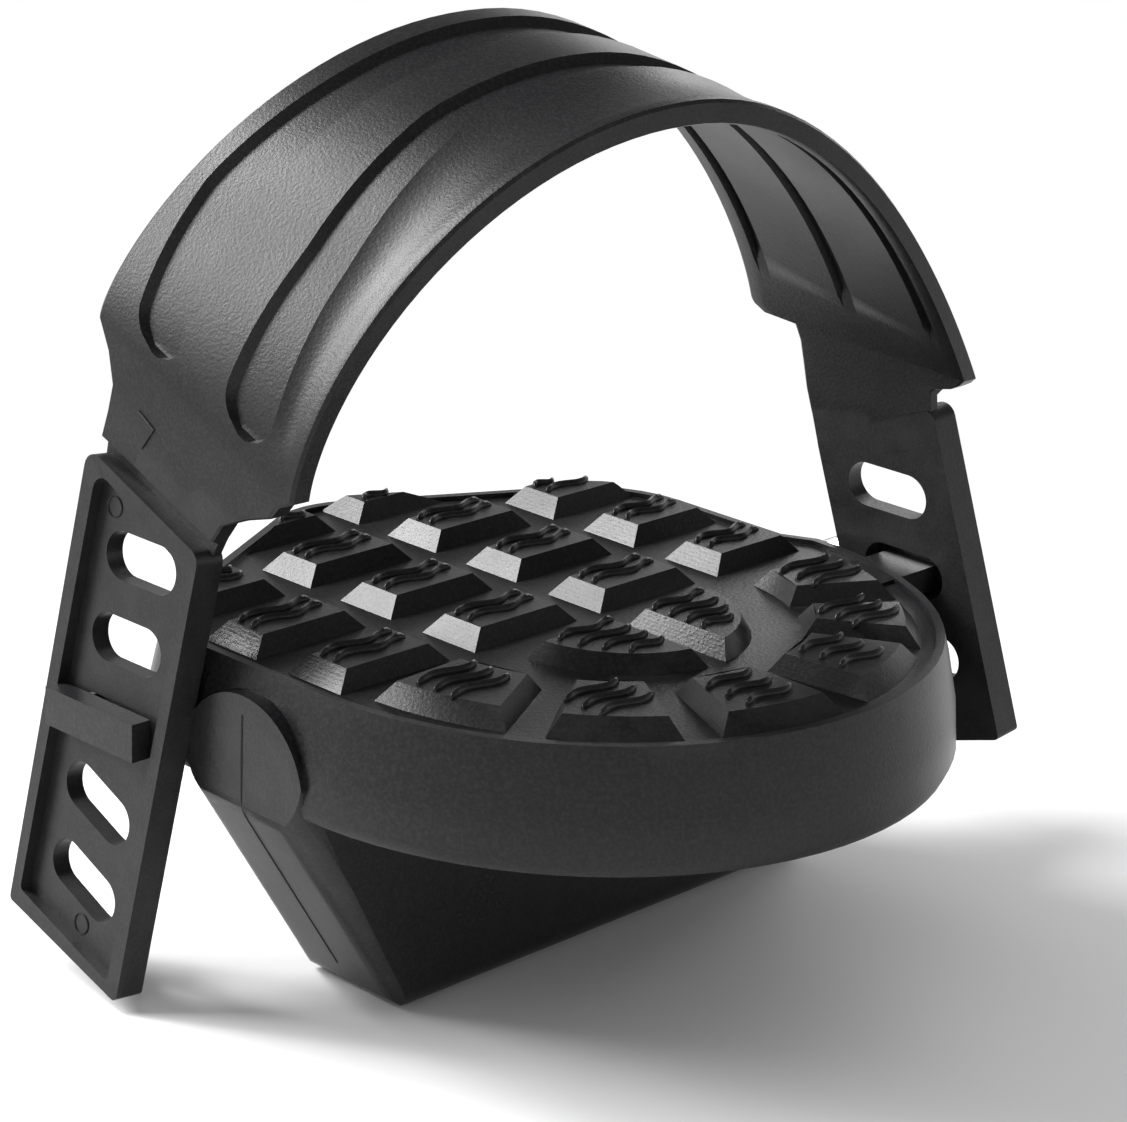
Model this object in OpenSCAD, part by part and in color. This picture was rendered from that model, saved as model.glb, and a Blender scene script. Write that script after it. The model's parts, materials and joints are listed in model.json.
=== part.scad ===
// Right-hand pedal of an exercise cycle: a moulded tread body with a weighted
// keel, a moulded toe strap on two hooks, and a spindle that turns on balls.
// Frame: the origin is the centre of the spindle's shoulder, where it meets the
// crank. +Y runs along the spindle into the crank, +X to the toes, +Z up.

/* [Tread] */
// Half width from the barrel's middle to the near side of the tread
near_half = 48; // [44:0.5:54]
// How much less the tread reaches on the crank side, behind its round end
far_cut = 2.5; // [0:0.5:5]
// Distance from the axle to the centre of the round front end
nose_x = 11; // [6:0.5:20]
// Distance from the axle back to the tip of the tail
tail_x = 47.8; // [44:0.1:54]
// How far the tail's two edges sweep forwards for each mm sideways
tail_sweep = 0.51; // [0.3:0.01:0.6]
// Radius of the corners between the tail and the sides
back_r = 17; // [10:0.5:22]
// Height of the tread floor above the axle
floor_z = 13.6; // [13:0.1:20]
// Height of the small lip round the tread
lip_h = 0.7; // [0.3:0.1:1.5]
// Width of the lip round the tread
lip_w = 1.2; // [0.6:0.1:2]
// Thickness of the tread floor
floor_t = 2.4; // [1.6:0.1:2.6]
// Height of the skirt below the tread floor
skirt_h = 16.5; // [12:0.5:22]
// How far the skirt flares outwards towards its foot
skirt_flare = 2.6; // [0:0.1:4]
// Wall of the skirt and ribs
skirt_t = 2.4; // [1.6:0.1:4]

/* [Tread blocks] */
// Distance between the block columns, heel to toe
pitch_x = 16; // [14:0.1:18]
// Distance between the block rows, side to side
pitch_y = 23.55; // [21:0.05:25]
// Width of a block at its foot
block_w = 9.9; // [7:0.1:12]
// Length of a block at its foot
block_l = 19.1; // [15:0.1:20.5]
// Height of a block
block_h = 2.5; // [1.5:0.1:4]
// How far a block's long sides lean in
side_lean = 1.6; // [0.4:0.1:2.5]
// How far a block's ends lean in
end_lean = 2.5; // [0.5:0.1:4]

/* [Barrel and keel] */
// Outer radius of the barrel round the axle
barrel_r = 11.6; // [11:0.1:13]
// How far the barrel stands proud of the skirt
barrel_proud = 0.5; // [0.2:0.1:0.6]
// Depth of the keel below the axle
keel_drop = 36; // [32:0.5:44]
// Width of the keel at its foot
keel_foot_w = 20; // [14:0.5:22]
// Height below the axle where the keel's outer end starts to slant
slant_top = 4; // [0:0.5:8]
// How far the keel's foot starts in from its outer end
slant_run = 20.5; // [12:0.5:30]
// Radius of the keel's foot edges
keel_r = 3.4; // [1:0.1:5]
// Radius of the two long corners of the keel's slanted end
nose_r = 5; // [3:0.5:10]
// Wall of the keel round its weight
keel_t = 2.6; // [1.6:0.1:3.5]

/* [Counterweight] */
// Length of the steel weight
weight_l = 62; // [30:1:64]
// Height of the steel weight
weight_h = 13; // [8:0.5:14]
// Width of the steel weight
weight_w = 10.5; // [6:0.5:11]
// Thickness of the cover over the weight's pocket
cover_t = 2; // [1:0.1:3]
// Core diameter of the cover's two screws
screw_d = 2.6; // [2:0.1:3]

/* [Strap] */
// Thickness of the strap band
band_t = 3.2; // [2:0.1:4]
// Height of the band's back edge over the tread's middle, above the axle
back_top = 92; // [80:0.5:110]
// Height of the back edge where its near side turns down
back_near = 55; // [45:0.5:60]
// Height of the back edge where its crank side turns down
back_far = 44.8; // [40:0.1:55]
// Height of the band's front edge over the tread's middle
front_top = 86.5; // [75:0.5:105]
// Height of the front edge where its near side turns down
front_near = 38; // [36:0.5:50]
// Height of the front edge where its crank side turns down
front_far = 43.2; // [40:0.1:55]
// Depth of the wide grooves in the band's outer face
groove_d = 1.2; // [0.4:0.1:1.5]
// Depth of the narrow slots in the band's inner face
slit_d = 1; // [0.4:0.1:1.4]
// Overall thickness of a strap end plate
plate_t = 4.4; // [3.6:0.1:6]
// Width of a strap end plate
plate_w = 24; // [20:0.5:28]
// Depth of the recess inside an end plate's frame
recess_d = 1.7; // [0.6:0.1:2.2]
// Width of an end plate's frame
frame_w = 2.1; // [1.4:0.1:3]
// Distance between the slots in an end plate
slot_pitch = 11.45; // [10:0.05:13]
// Length of a slot
slot_l = 14; // [11:0.5:16]
// Height of a slot
slot_h = 6.5; // [5:0.1:8]

/* [Hooks] */
// Length of a hook's head
hook_l = 18; // [15.5:0.5:20]
// Height of a hook's head
hook_h = 5.3; // [3:0.1:7]
// Thickness of a hook's head
hook_t = 3; // [1.5:0.1:4]
// Play between a hook's neck and the slot's ends
hook_play = 2; // [0.8:0.1:4]

/* [Spindle] */
// Major diameter of the crank thread
thread_d = 14.2875; // [12.7:0.0001:15]
// Length of the crank thread
thread_l = 14; // [11:0.5:16]
// Width across the two wrench flats
flats_w = 15; // [14:0.1:17]
// Gap from the crank face to the tread's crank-side edge
shoulder_gap = 12; // [11:0.5:20]
// Diameter of the journal in the plain bush
journal_d = 12; // [10:0.1:12.6]
// Diameter of the spindle's middle stretch
shaft_d = 10; // [8:0.1:11]
// Diameter of the spindle's outer end
tip_d = 7; // [6:0.1:7.2]
// Size of the hexagon socket across flats
socket_w = 6; // [5:0.5:8]

/* [Axle cartridge] */
// Outer diameter of the sleeve that carries the bearings
sleeve_d = 19; // [18:0.1:20]
// Wall of the sleeve
sleeve_t = 1.1; // [0.8:0.1:1.4]
// Diameter of a bearing ball
ball_d = 3.175; // [2.5:0.005:3.4]
// Number of balls in one row
ball_count = 9; // [6:1:10]
// Distance between the two ball rows
row_gap = 14; // [12:0.5:20]
// Length of the plain bush
bush_l = 16; // [10:0.5:24]
// Running clearance of turning parts, on the radius
run_gap = 0.05; // [0.02:0.01:0.1]
// Clearance of fitted parts, on the radius
fit_gap = 0.02; // [0.01:0.01:0.05]

/* [Hidden] */
$fn = 64;

// Y of the tread's middle line, and the two ends of the barrel
mid_y = -shoulder_gap - near_half;
far_half = near_half - far_cut;
near_y = mid_y - near_half;
far_y = mid_y + near_half;
barrel_near = near_y - skirt_flare - barrel_proud;
barrel_far = far_y + 2;
skirt_z = floor_z - skirt_h;
plate_z = floor_z - floor_t;

// Points on an arc of radius r about c, from angle a to angle b in n steps
function arc(c, r, a, b, n) =
    [for (i = [0:n]) c + r * [cos(a + (b - a) * i / n), sin(a + (b - a) * i / n)]];

// The rounded corner of radius r at q, between the points p and s
function corner(p, q, s, r, n) =
    let (
        u = (p - q) / norm(p - q),
        v = (s - q) / norm(s - q),
        half = acos(u * v) / 2,
        centre = q + (u + v) / norm(u + v) * r / sin(half),
        first = q + u * r / tan(half) - centre,
        last = q + v * r / tan(half) - centre,
        a = atan2(first[1], first[0]),
        turn = atan2(last[1], last[0]) - a,
        b = turn > 180 ? turn - 360 : turn < -180 ? turn + 360 : turn
    )
    arc(centre, r, a, a + b, n);

// A polygon with each point [x, y, r] rounded to its radius r
function rounded(points, n = 6) =
    let (c = len(points))
    [
        for (i = [0:c - 1])
            let (
                p = points[(i + c - 1) % c],
                q = points[i],
                s = points[(i + 1) % c]
            )
            each (q[2] > 0
                ? corner([p[0], p[1]], [q[0], q[1]], [s[0], s[1]], q[2], n)
                : [[q[0], q[1]]])
    ];

// Outline of the tread seen from above, moved outwards by d
side_x = 6;
tail_r = 14;
function tail_edge_x(y, d) = -tail_x - d * norm([1, tail_sweep]) + tail_sweep * y;
function tread_outline(d) =
    let (
        far = far_half + d,
        near = near_half + d,
        back = rounded([
            [side_x, mid_y + far, 0],
            [tail_edge_x(far, d), mid_y + far, back_r + d],
            [tail_edge_x(0, d), mid_y, tail_r + d],
            [tail_edge_x(near, d), mid_y - near, back_r + d],
            [side_x, mid_y - near, 0]
        ])
    )
    // The near side runs straight into the round end, so its last point is left out
    concat(
        arc([nose_x, mid_y], near_half + d, -90, 90, 40),
        [for (i = [0:len(back) - 2]) back[i]]
    );

// A solid through rings of points of equal count, the first ring lowest.
// flat says that each side face is flat, so that it needs no diagonal.
module loft(rings, flat = true) {
    n = len(rings[0]);
    m = len(rings);
    polyhedron(
        points = [for (ring = rings) each ring],
        faces = concat(
            [[for (i = [0:n - 1]) i]],
            [
                for (k = [0:m - 2])
                    for (i = [0:n - 1])
                        let (j = (i + 1) % n, a = k * n)
                        each (flat
                            ? [[a + j, a + i, a + n + i, a + n + j]]
                            : [[a + j, a + i, a + n + i], [a + j, a + n + i, a + n + j]])
            ],
            [[for (i = [n - 1:-1:0]) (m - 1) * n + i]]
        )
    );
}

// Each point of a flat outline lifted to the height z
function lifted(outline, z) = [for (p = outline) [p[0], p[1], z]];

// The skirt's outside: flared, with a rounded foot
foot_r = 2.4;
module skirt_outside() {
    loft([
        lifted(tread_outline(skirt_flare - foot_r), skirt_z),
        lifted(tread_outline(skirt_flare - foot_r * 0.3), skirt_z + foot_r * 0.3),
        lifted(tread_outline(skirt_flare), skirt_z + foot_r),
        lifted(tread_outline(skirt_flare * 0.8), (skirt_z + floor_z) / 2),
        lifted(tread_outline(skirt_flare * 0.25), floor_z - 1.5),
        lifted(tread_outline(0), floor_z + lip_h)
    ]);
}

// The hollow under the tread floor, open at the bottom
module skirt_inside() {
    translate([0, 0, skirt_z - 1])
        linear_extrude(height = plate_z - skirt_z + 1)
            polygon(tread_outline(-skirt_t));
}

// The tray inside the lip
module lip_tray() {
    translate([0, 0, floor_z])
        linear_extrude(height = lip_h + 1)
            polygon(tread_outline(-lip_w));
}

// A block with a foot outline and a top outline of the same count
module block(foot, top, flat = true) {
    loft(
        [lifted(foot, floor_z - 0.6), lifted(foot, floor_z), lifted(top, floor_z + block_h)],
        flat
    );
}

// An oblong block whose near left corner is at column i, row j
first_x = -46.4;
first_y = mid_y - 44.9;
far_block_l = block_l * 0.92;
module oblong_block(i, j) {
    x = first_x + i * pitch_x;
    y = first_y + j * pitch_y;
    l = j == 3 ? far_block_l : block_l;
    block(
        [[x, y], [x + block_w, y], [x + block_w, y + l], [x, y + l]],
        [
            [x + side_lean, y + end_lean],
            [x + block_w - side_lean, y + end_lean],
            [x + block_w - side_lean, y + l - end_lean],
            [x + side_lean, y + l - end_lean]
        ]
    );
}

// Half of the domed pair in the middle of the front end, side +1 or -1
dome_x = 17.2;
dome_r = 17.6;
dome_gap = 1.6;
module half_dome(side) {
    function half(d) =
        let (
            r = dome_r - d,
            y = dome_gap + d,
            x = d,
            a = asin(y / r),
            b = acos(x / r),
            points = [
                [x, y],
                each [for (k = [0:10]) r * [cos(a + (b - a) * k / 10), sin(a + (b - a) * k / 10)]]
            ],
            placed = [for (p = points) [dome_x + p[0], mid_y + side * p[1]]]
        )
        side > 0 ? placed : [for (k = [len(placed) - 1:-1:0]) placed[k]];
    block(half(0), half(side_lean), false);
}

// One of the blocks in the outer ring, between the angles a and b
ring_in = 27.3;
ring_out = 43;
ring_x = 13.4;
module ring_block(a, b) {
    function wedge(d) =
        let (
            ri = ring_in + d,
            ro = ring_out - d * 1.4,
            ai = a + asin(d / ri),
            bi = b - asin(d / ri),
            ao = a + asin(d / ro),
            bo = b - asin(d / ro)
        )
        concat(
            [for (k = [0:4]) ring_at(ro, ao + (bo - ao) * k / 4)],
            [for (k = [4:-1:0]) ring_at(ri, ai + (bi - ai) * k / 4)]
        );
    block(wedge(0), wedge(side_lean), false);
}
function ring_at(r, a) = [ring_x + r * cos(a), mid_y + r * sin(a)];

// Angles of the six ring blocks about the front end's centre, from the near side
ring_angles = [[-87, -61.5], [-55, -32], [-25.5, -0.5], [6.5, 31], [36, 54], [62, 82]];

// All the blocks, those at the back cut off along the tread's edge
edge_gap = 1.4;
module tread_blocks() {
    intersection() {
        union() {
            for (j = [1, 2])
                for (i = [0:3])
                    oblong_block(i, j);
            for (j = [0, 3])
                for (i = [1:3])
                    oblong_block(i, j);
        }
        loft([
            lifted(tread_outline(-edge_gap), floor_z - 1),
            lifted(tread_outline(-edge_gap), floor_z),
            lifted(tread_outline(-edge_gap - side_lean * 1.1), floor_z + block_h * 1.1)
        ]);
    }
    half_dome(1);
    half_dome(-1);
    for (a = ring_angles)
        ring_block(a[0], a[1]);
}

// Section of the barrel and keel across the axle
keel_foot_z = -keel_drop;
module keel_section(inset) {
    r = barrel_r - inset;
    foot = keel_foot_w / 2 - inset;
    circle(r = r, $fn = 96);
    polygon(rounded([
        [r * cos(5), -r * sin(5), 0],
        [-r * cos(5), -r * sin(5), 0],
        [-foot, keel_foot_z + inset, keel_r],
        [foot, keel_foot_z + inset, keel_r]
    ], 8));
}

// Side view of the barrel and keel, along the axle
module keel_side() {
    polygon(rounded([
        [barrel_near, barrel_r + 1, 0],
        [barrel_near, -slant_top, 5],
        [barrel_near + slant_run, keel_foot_z, 6],
        [barrel_far, keel_foot_z, 2],
        [barrel_far, barrel_r + 1, 0]
    ], 8));
}

// A long bar with two round corners, laid along the slant of the keel's outer end
module keel_nose() {
    reach = 100;
    slack = 0.02;
    tilt = atan2(slant_run, keel_drop - slant_top);
    w = barrel_r + slack;
    translate([0, barrel_near, -slant_top])
        rotate([tilt, 0, 0])
            translate([0, 0, -reach])
                linear_extrude(height = 2 * reach)
                    polygon(rounded([
                        [-w, -slack, nose_r], [w, -slack, nose_r], [w, 2 * reach, 0], [-w, 2 * reach, 0]
                    ], 9));
}

// The barrel and keel, solid
module keel_solid() {
    intersection() {
        keel_nose();
        along_y(barrel_near - 1, barrel_far + 1) keel_section(0);
        rotate([90, 0, 90])
            linear_extrude(height = 2 * barrel_r + 2, center = true)
                keel_side();
    }
}

// Extrudes a section drawn in X and Z along Y, from y0 to y1
module along_y(y0, y1) {
    translate([0, y1, 0])
        rotate([90, 0, 0])
            linear_extrude(height = y1 - y0)
                children();
}

// A round bar or bore along Y
module bar(y0, y1, r) {
    along_y(y0, y1) circle(r = r);
}

// A solid turned about Y from a profile of [radius, y] points
module turned(points) {
    rotate([-90, 0, 0])
        rotate_extrude($fn = 96)
            polygon(points);
}

// A T-shaped hook: neck and head, with side -1 near and +1 on the crank side
near_hook = [-23.5, 2];
far_hook = [24.4, 12.2];
neck_l = slot_l - slot_h / 2 - hook_play;
neck_h = slot_h - 2.8;
hook_root = 8;
hook_edge = 0.3;
function hook_reach(x) = min(near_half, (x + tail_x + hook_edge) / tail_sweep);
module hook(side) {
    at = side < 0 ? near_hook : far_hook;
    root = mid_y + side * (hook_reach(at[0]) - hook_root);
    face = mid_y + side * hook_face(at[1]);
    translate([at[0], 0, at[1]]) {
        translate([-neck_l / 2, min(root, face), -neck_h / 2])
            cube([neck_l, abs(face - root), neck_h]);
        translate([-hook_l / 2, side < 0 ? face - hook_t : face, -hook_h / 2])
            cube([hook_l, hook_t, hook_h]);
    }
}

// Ribs under the tread floor
rib_x = [-18, 20, 36];
rib_y = [-26, 0, 26];
module ribs() {
    intersection() {
        union() {
            for (x = rib_x)
                translate([x - skirt_t / 3, near_y, skirt_z + 3])
                    cube([skirt_t / 1.5, far_y - near_y, floor_z - skirt_z - 3 - floor_t / 2]);
            for (y = rib_y)
                translate([-tail_x, mid_y + y - skirt_t / 3, skirt_z + 3])
                    cube([
                        tail_x + nose_x + near_half,
                        skirt_t / 1.5,
                        floor_z - skirt_z - 3 - floor_t / 2
                    ]);
        }
        loft([
            lifted(tread_outline(-skirt_t / 2), skirt_z),
            lifted(tread_outline(-skirt_t / 2), floor_z)
        ]);
    }
}

// The pocket for the steel weight, open at the crank side
weight_y1 = barrel_far - cover_t;
weight_y0 = weight_y1 - weight_l;
weight_top = -barrel_r - keel_t - screw_d;
pocket_clear = 0.15;
screw_z = [weight_top + 3.1, weight_top - weight_h - 2.9];
module weight_pocket() {
    translate([
        -weight_w / 2 - pocket_clear,
        weight_y0 - pocket_clear,
        weight_top - weight_h - pocket_clear
    ])
        cube([
            weight_w + 2 * pocket_clear,
            weight_l + cover_t + 1,
            weight_h + 2 * pocket_clear
        ]);
}

// One moulding: tread, skirt, barrel, keel and hooks
module pedal_body() {
    color("#1c1c1e")
        difference() {
            union() {
                difference() {
                    skirt_outside();
                    skirt_inside();
                    lip_tray();
                }
                ribs();
                tread_blocks();
                keel_solid();
                hook(-1);
                hook(1);
            }
            bar(bore_end, barrel_far + 1, sleeve_d / 2 + fit_gap);
            weight_pocket();
            along_y(weight_y1, barrel_far + 1) cover_outline(pocket_clear);
            for (z = screw_z)
                translate([0, 0, z])
                    bar(weight_y1 - screw_l - 1, barrel_far, screw_d / 2 + fit_gap);
        }
}

// Steel bar in the keel
module counterweight() {
    color("#8a8c90")
        translate([-weight_w / 2, weight_y0, weight_top - weight_h])
            cube([weight_w, weight_l, weight_h]);
}

// Outline of the cover, grown by d
module cover_outline(d) {
    w = weight_w / 2 + 1.4 + d;
    top = screw_z[0] + screw_d / 2 + 1.2 + d;
    foot = screw_z[1] - screw_d / 2 - 0.9 - d;
    polygon(rounded([[-w, foot, 2], [w, foot, 2], [w, top, 2], [-w, top, 2]]));
}

// Cover over the weight's pocket, flush with the crank-side end
module weight_cover() {
    color("#242426")
        difference() {
            along_y(weight_y1, barrel_far) cover_outline(0);
            for (z = screw_z)
                translate([0, 0, z])
                    bar(weight_y1 - 1, barrel_far + 1, screw_d / 2 + 0.15);
        }
}

// Two pan-head screws with cross recesses
screw_l = 9;
head_r = 2.4;
head_h = 1.5;
module cover_screws() {
    color("#9a9ca0")
        for (z = screw_z)
            translate([0, 0, z])
                difference() {
                    union() {
                        bar(weight_y1 - screw_l, barrel_far + 0.1, screw_d / 2);
                        bar(barrel_far, barrel_far + head_h, head_r);
                    }
                    for (turn = [0, 90])
                        rotate([0, turn, 0])
                            translate([-1.3, barrel_far + head_h - 0.9, -0.3])
                                cube([2.6, 1, 0.6]);
                }
}

// Places along the spindle
collar_l = 6.4;
nut_l = 6;
nut_flange = 2.8;
sleeve_y1 = barrel_far - nut_l;
sleeve_y0 = near_y + 4;
bore_end = sleeve_y0 - 0.4;
bush_y1 = sleeve_y1 - 1;
bush_y0 = bush_y1 - bush_l;
outer_row = sleeve_y0 + 12;
inner_row = outer_row + row_gap;
cone_half = 3.4;
cup_half = 3.2;
shaft_end = inner_row + cone_half;
cone_end = outer_row - cone_half;
washer_t = 1;
locknut_t = 4.5;
tip_y = cone_end - washer_t - locknut_t - 1;
sleeve_r = sleeve_d / 2;
seat_r = sleeve_r - sleeve_t - fit_gap;
ball_r = ball_d / 2;
track_r = ball_r + run_gap;
pitch_r = (tip_d / 2 + seat_r) / 2;
key_w = 1.2;
key_d = 0.7;

// Spindle: crank thread, collar with wrench flats, journal, shaft and outer end
module spindle() {
    thread_r = thread_d / 2;
    collar_r = flats_w / 2 + 1.1;
    journal_r = journal_d / 2;
    tip_r = tip_d / 2;
    color("#b9bcc0")
        difference() {
            turned([
                [0, thread_l], [thread_r - 1, thread_l], [thread_r, thread_l - 1], [thread_r, 0],
                [collar_r, 0], [collar_r, -collar_l], [journal_r, -collar_l],
                [journal_r, bush_y0 - 1], [shaft_d / 2, bush_y0 - 2], [shaft_d / 2, shaft_end],
                [tip_r, shaft_end], [tip_r, tip_y + 0.6], [tip_r - 0.6, tip_y], [0, tip_y]
            ]);
            for (side = [-1, 1])
                translate([-collar_r - 1, -collar_l - 0.01, side > 0 ? flats_w / 2 : -flats_w / 2 - 3])
                    cube([2 * collar_r + 2, collar_l + 0.01, 3]);
            translate([0, thread_l - 8, 0])
                rotate([-90, 30, 0])
                    cylinder(r = socket_w / 2 / cos(30), h = 9, $fn = 6);
            translate([-key_w / 2, tip_y - 1, tip_r - key_d])
                cube([key_w, cone_end - tip_y + 2, key_d + 1]);
        }
}

// Threaded ring that holds the cartridge in the barrel, with eight notches
module retaining_nut() {
    r = sleeve_r - fit_gap;
    bore_r = journal_d / 2 + 1.7;
    flange_r = barrel_r - 0.7;
    color("#2a2a2c")
        difference() {
            turned([
                [bore_r, sleeve_y1], [r, sleeve_y1], [r, barrel_far], [flange_r, barrel_far],
                [flange_r, barrel_far + nut_flange], [bore_r, barrel_far + nut_flange]
            ]);
            for (k = [0:7])
                rotate([0, k * 45 + 22.5, 0])
                    translate([flange_r - 1.2, barrel_far + 0.8, -1.1])
                        cube([3, nut_flange, 2.2]);
        }
}

// Rubber ring with a lip on the journal
module axle_seal() {
    r = journal_d / 2 + run_gap;
    out_r = journal_d / 2 + 1.7 - fit_gap;
    y0 = barrel_far - 1.5;
    y1 = barrel_far + nut_flange - 0.6;
    color("#3a3a3c")
        turned([[r, y1], [r, y1 - 1], [r + 0.5, y1 - 1.6], [r + 0.5, y0], [out_r, y0], [out_r, y1]]);
}

// Polymer bush at the crank end of the sleeve
module crank_side_bush() {
    color("#c9c2a8")
        turned([
            [journal_d / 2 + run_gap, bush_y0], [seat_r, bush_y0],
            [seat_r, bush_y1], [journal_d / 2 + run_gap, bush_y1]
        ]);
}

// Steel tube that carries the bush and both cups
module axle_sleeve() {
    color("#7d8086")
        turned([
            [sleeve_r - sleeve_t, sleeve_y0], [sleeve_r, sleeve_y0],
            [sleeve_r, sleeve_y1], [sleeve_r - sleeve_t, sleeve_y1]
        ]);
}

// Ring with a ball track: a cup outside the balls or a cone inside them
module race(row, r0, r1, half) {
    difference() {
        turned([[r0, row - half], [r1, row - half], [r1, row + half], [r0, row + half]]);
        translate([0, row, 0])
            rotate([-90, 0, 0])
                rotate_extrude($fn = 96)
                    translate([pitch_r, 0]) circle(r = track_r, $fn = 48);
    }
}

module cup(row) {
    color("#9ea2a8") race(row, pitch_r + ball_r * 0.8, seat_r, cup_half);
}

module cone(row) {
    color("#b0b3b8") race(row, tip_d / 2 + fit_gap, pitch_r - ball_r * 0.8, cone_half);
}

// One row of balls
module ball_row(row) {
    color("#d8dade")
        for (k = [0:ball_count - 1])
            rotate([0, k * 360 / ball_count, 0])
                translate([pitch_r, row, 0]) sphere(r = ball_r, $fn = 48);
}

// Ring that keeps one row of balls apart
module ball_cage(row) {
    half = ball_r + 0.7;
    color("#c08a3e")
        difference() {
            turned([
                [pitch_r - 0.5, row - half], [pitch_r + 0.5, row - half],
                [pitch_r + 0.5, row + half], [pitch_r - 0.5, row + half]
            ]);
            for (k = [0:ball_count - 1])
                rotate([0, k * 360 / ball_count, 0])
                    translate([pitch_r - 2, row, 0])
                        rotate([0, 90, 0])
                            cylinder(r = ball_r + 0.12, h = 4, $fn = 48);
        }
}

module inner_cup() { cup(inner_row); }
module inner_balls() { ball_row(inner_row); }
module inner_ball_cage() { ball_cage(inner_row); }
module inner_cone() { cone(inner_row); }
module outer_cup() { cup(outer_row); }
module outer_balls() { ball_row(outer_row); }
module outer_ball_cage() { ball_cage(outer_row); }
module adjusting_cone() { cone(outer_row); }

// Washer whose tongue runs in the spindle's keyway
module keyed_washer() {
    y1 = cone_end;
    r = tip_d / 2;
    color("#9a9ca0")
        union() {
            turned([
                [r + fit_gap, y1 - washer_t], [r + 2, y1 - washer_t],
                [r + 2, y1], [r + fit_gap, y1]
            ]);
            translate([-key_w / 2 + 0.1, y1 - washer_t, r - key_d + 0.1])
                cube([key_w - 0.2, washer_t, key_d + 0.3]);
        }
}

// Hexagon nut at the spindle's outer end
module locknut() {
    y1 = cone_end - washer_t;
    color("#a6a9ad")
        difference() {
            along_y(y1 - locknut_t, y1) circle(r = (tip_d / 2 + 1.6) / cos(30), $fn = 6);
            bar(y1 - locknut_t - 1, y1 + 1, tip_d / 2 + fit_gap);
        }
}

// Strap: where the end plates hang, and how far they splay outwards
hinge_z = 36;
hinge_in = near_half - 0.2;
splay = 5.6;
function plate_in(z) = hinge_in + (hinge_z - z) * tan(splay);
function hook_face(z) =
    plate_in(z - hook_h / 2) + (plate_t - recess_d) / cos(splay) + 0.05;

// The band's two edges, back and front, as [x near, x top, x far], apex height,
// height of the near and far ends, and the fullness of the near and far sides
back_edge = [[-29, -12.5, -4], back_top, back_near, back_far, 1.53, 1.53];
front_edge = [[8.5, 27.5, 34.6], front_top, front_near, front_far, 1.3, 1.95];

// Point on an edge at the angle a from the top, d below the outer face
function edge_point(edge, a, d) =
    let (
        s = sin(a),
        near = a < 0,
        base = near ? edge[2] : edge[3],
        full = near ? edge[4] : edge[5],
        x = edge[0]
    )
    [
        x[1] + (x[2] - x[0]) / 2 * s + ((x[2] + x[0]) / 2 - x[1]) * s * s,
        mid_y + (hinge_in + band_t - d) * s,
        base + (edge[1] - base - d) * pow(max(cos(a), 0), full)
    ];

// Sides of the two outer grooves, as [angle from the top, share across the band]
groove_end = 82.5;
groove_round = 8;
groove_1 = [[[-82, 0.17], [-50, 0.08], [-26, 0.1]], [[-82, 0.4], [-50, 0.29], [-26, 0.29]]];
groove_2 = [[[-82, 0.61], [-52, 0.6], [-26, 0.5]], [[-82, 0.86], [-50, 0.78], [-24, 0.65]]];
wall_share = 0.022;

// How open a groove is at the angle a: 1 along it, falling in a half circle at its ends
function openness(a) =
    let (t = min(max((groove_end - abs(a)) / groove_round, 0), 1))
    max(0.15, sqrt(1 - (1 - t) * (1 - t)));

// Four points across a groove: its two edges and the two sides of its floor
function groove_points(groove, a, deep) =
    let (
        k = openness(a),
        left = lookup(a, groove[0]),
        right = lookup(a, groove[1]),
        m = (left + right) / 2,
        h = (right - left) / 2,
        g = abs(a) >= groove_end ? 0 : deep * min(1, k * 2.5)
    )
    [[m - h * k, 0], [m - (h - wall_share) * k, g], [m + (h - wall_share) * k, g], [m + h * k, 0]];

// Section of the band as [share across, depth], outer face then inner face.
// slit is 1 along the inner slits; dip lowers the outer face.
function band_section(a, slit, dip) =
    let (
        k = slit_d * slit,
        fade = smooth((groove_end - abs(a)) / 10),
        edge_2 = lookup(a, groove_2[1]),
        outer = concat(
            [[0, 0.35], [0.012, 0]],
            groove_points(groove_1, a, groove_d),
            groove_points(groove_2, a, groove_d),
            [[max(edge_2 + 0.04, 0.75), 0.35 * fade], [0.93, 0.3 * fade], [0.95, 0], [0.988, 0], [1, 0.35]]
        )
    )
    concat(
        [for (p = outer) [p[0], max(p[1], dip)]],
        [
            [1, band_t - 0.3], [0.985, band_t],
            [0.94, band_t], [0.935, band_t - k], [0.895, band_t - k], [0.89, band_t],
            [0.555, band_t], [0.545, band_t - k], [0.49, band_t - k], [0.48, band_t],
            [0.14, band_t], [0.13, band_t - k], [0.085, band_t - k], [0.075, band_t],
            [0.015, band_t], [0, band_t - 0.3]
        ]
    );

// The band's rings over the foot, from the near end to the crank side
band_angles = concat(
    [-90, -87], [for (a = [-84:-73]) a], [for (a = [-72:3:72]) a], [for (a = [73:84]) a], [87, 90]
);
near_round = 2.5;
far_round = 8;
function smooth(x) = let (t = min(max(x, 0), 1)) t * t * (3 - 2 * t);
function inset_at(left, r) = left >= r ? 0 : r - sqrt(r * r - pow(r - left, 2));
function band_ring(a) =
    let (
        slit = smooth((a + 66) / 3) * smooth((70 - a) / 3),
        near_in = inset_at((a + 90) * 0.95, near_round),
        far_in = inset_at((90 - a) * 0.9, far_round)
    )
    [
        for (p = band_section(a, slit, 0))
            let (
                b = edge_point(back_edge, a, p[1]),
                f = edge_point(front_edge, a, p[1]),
                q = b + (f - b) * p[0]
            )
            [q[0] + far_in * (1 - p[0]) - near_in * p[0], q[1], q[2]]
    ];

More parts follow.
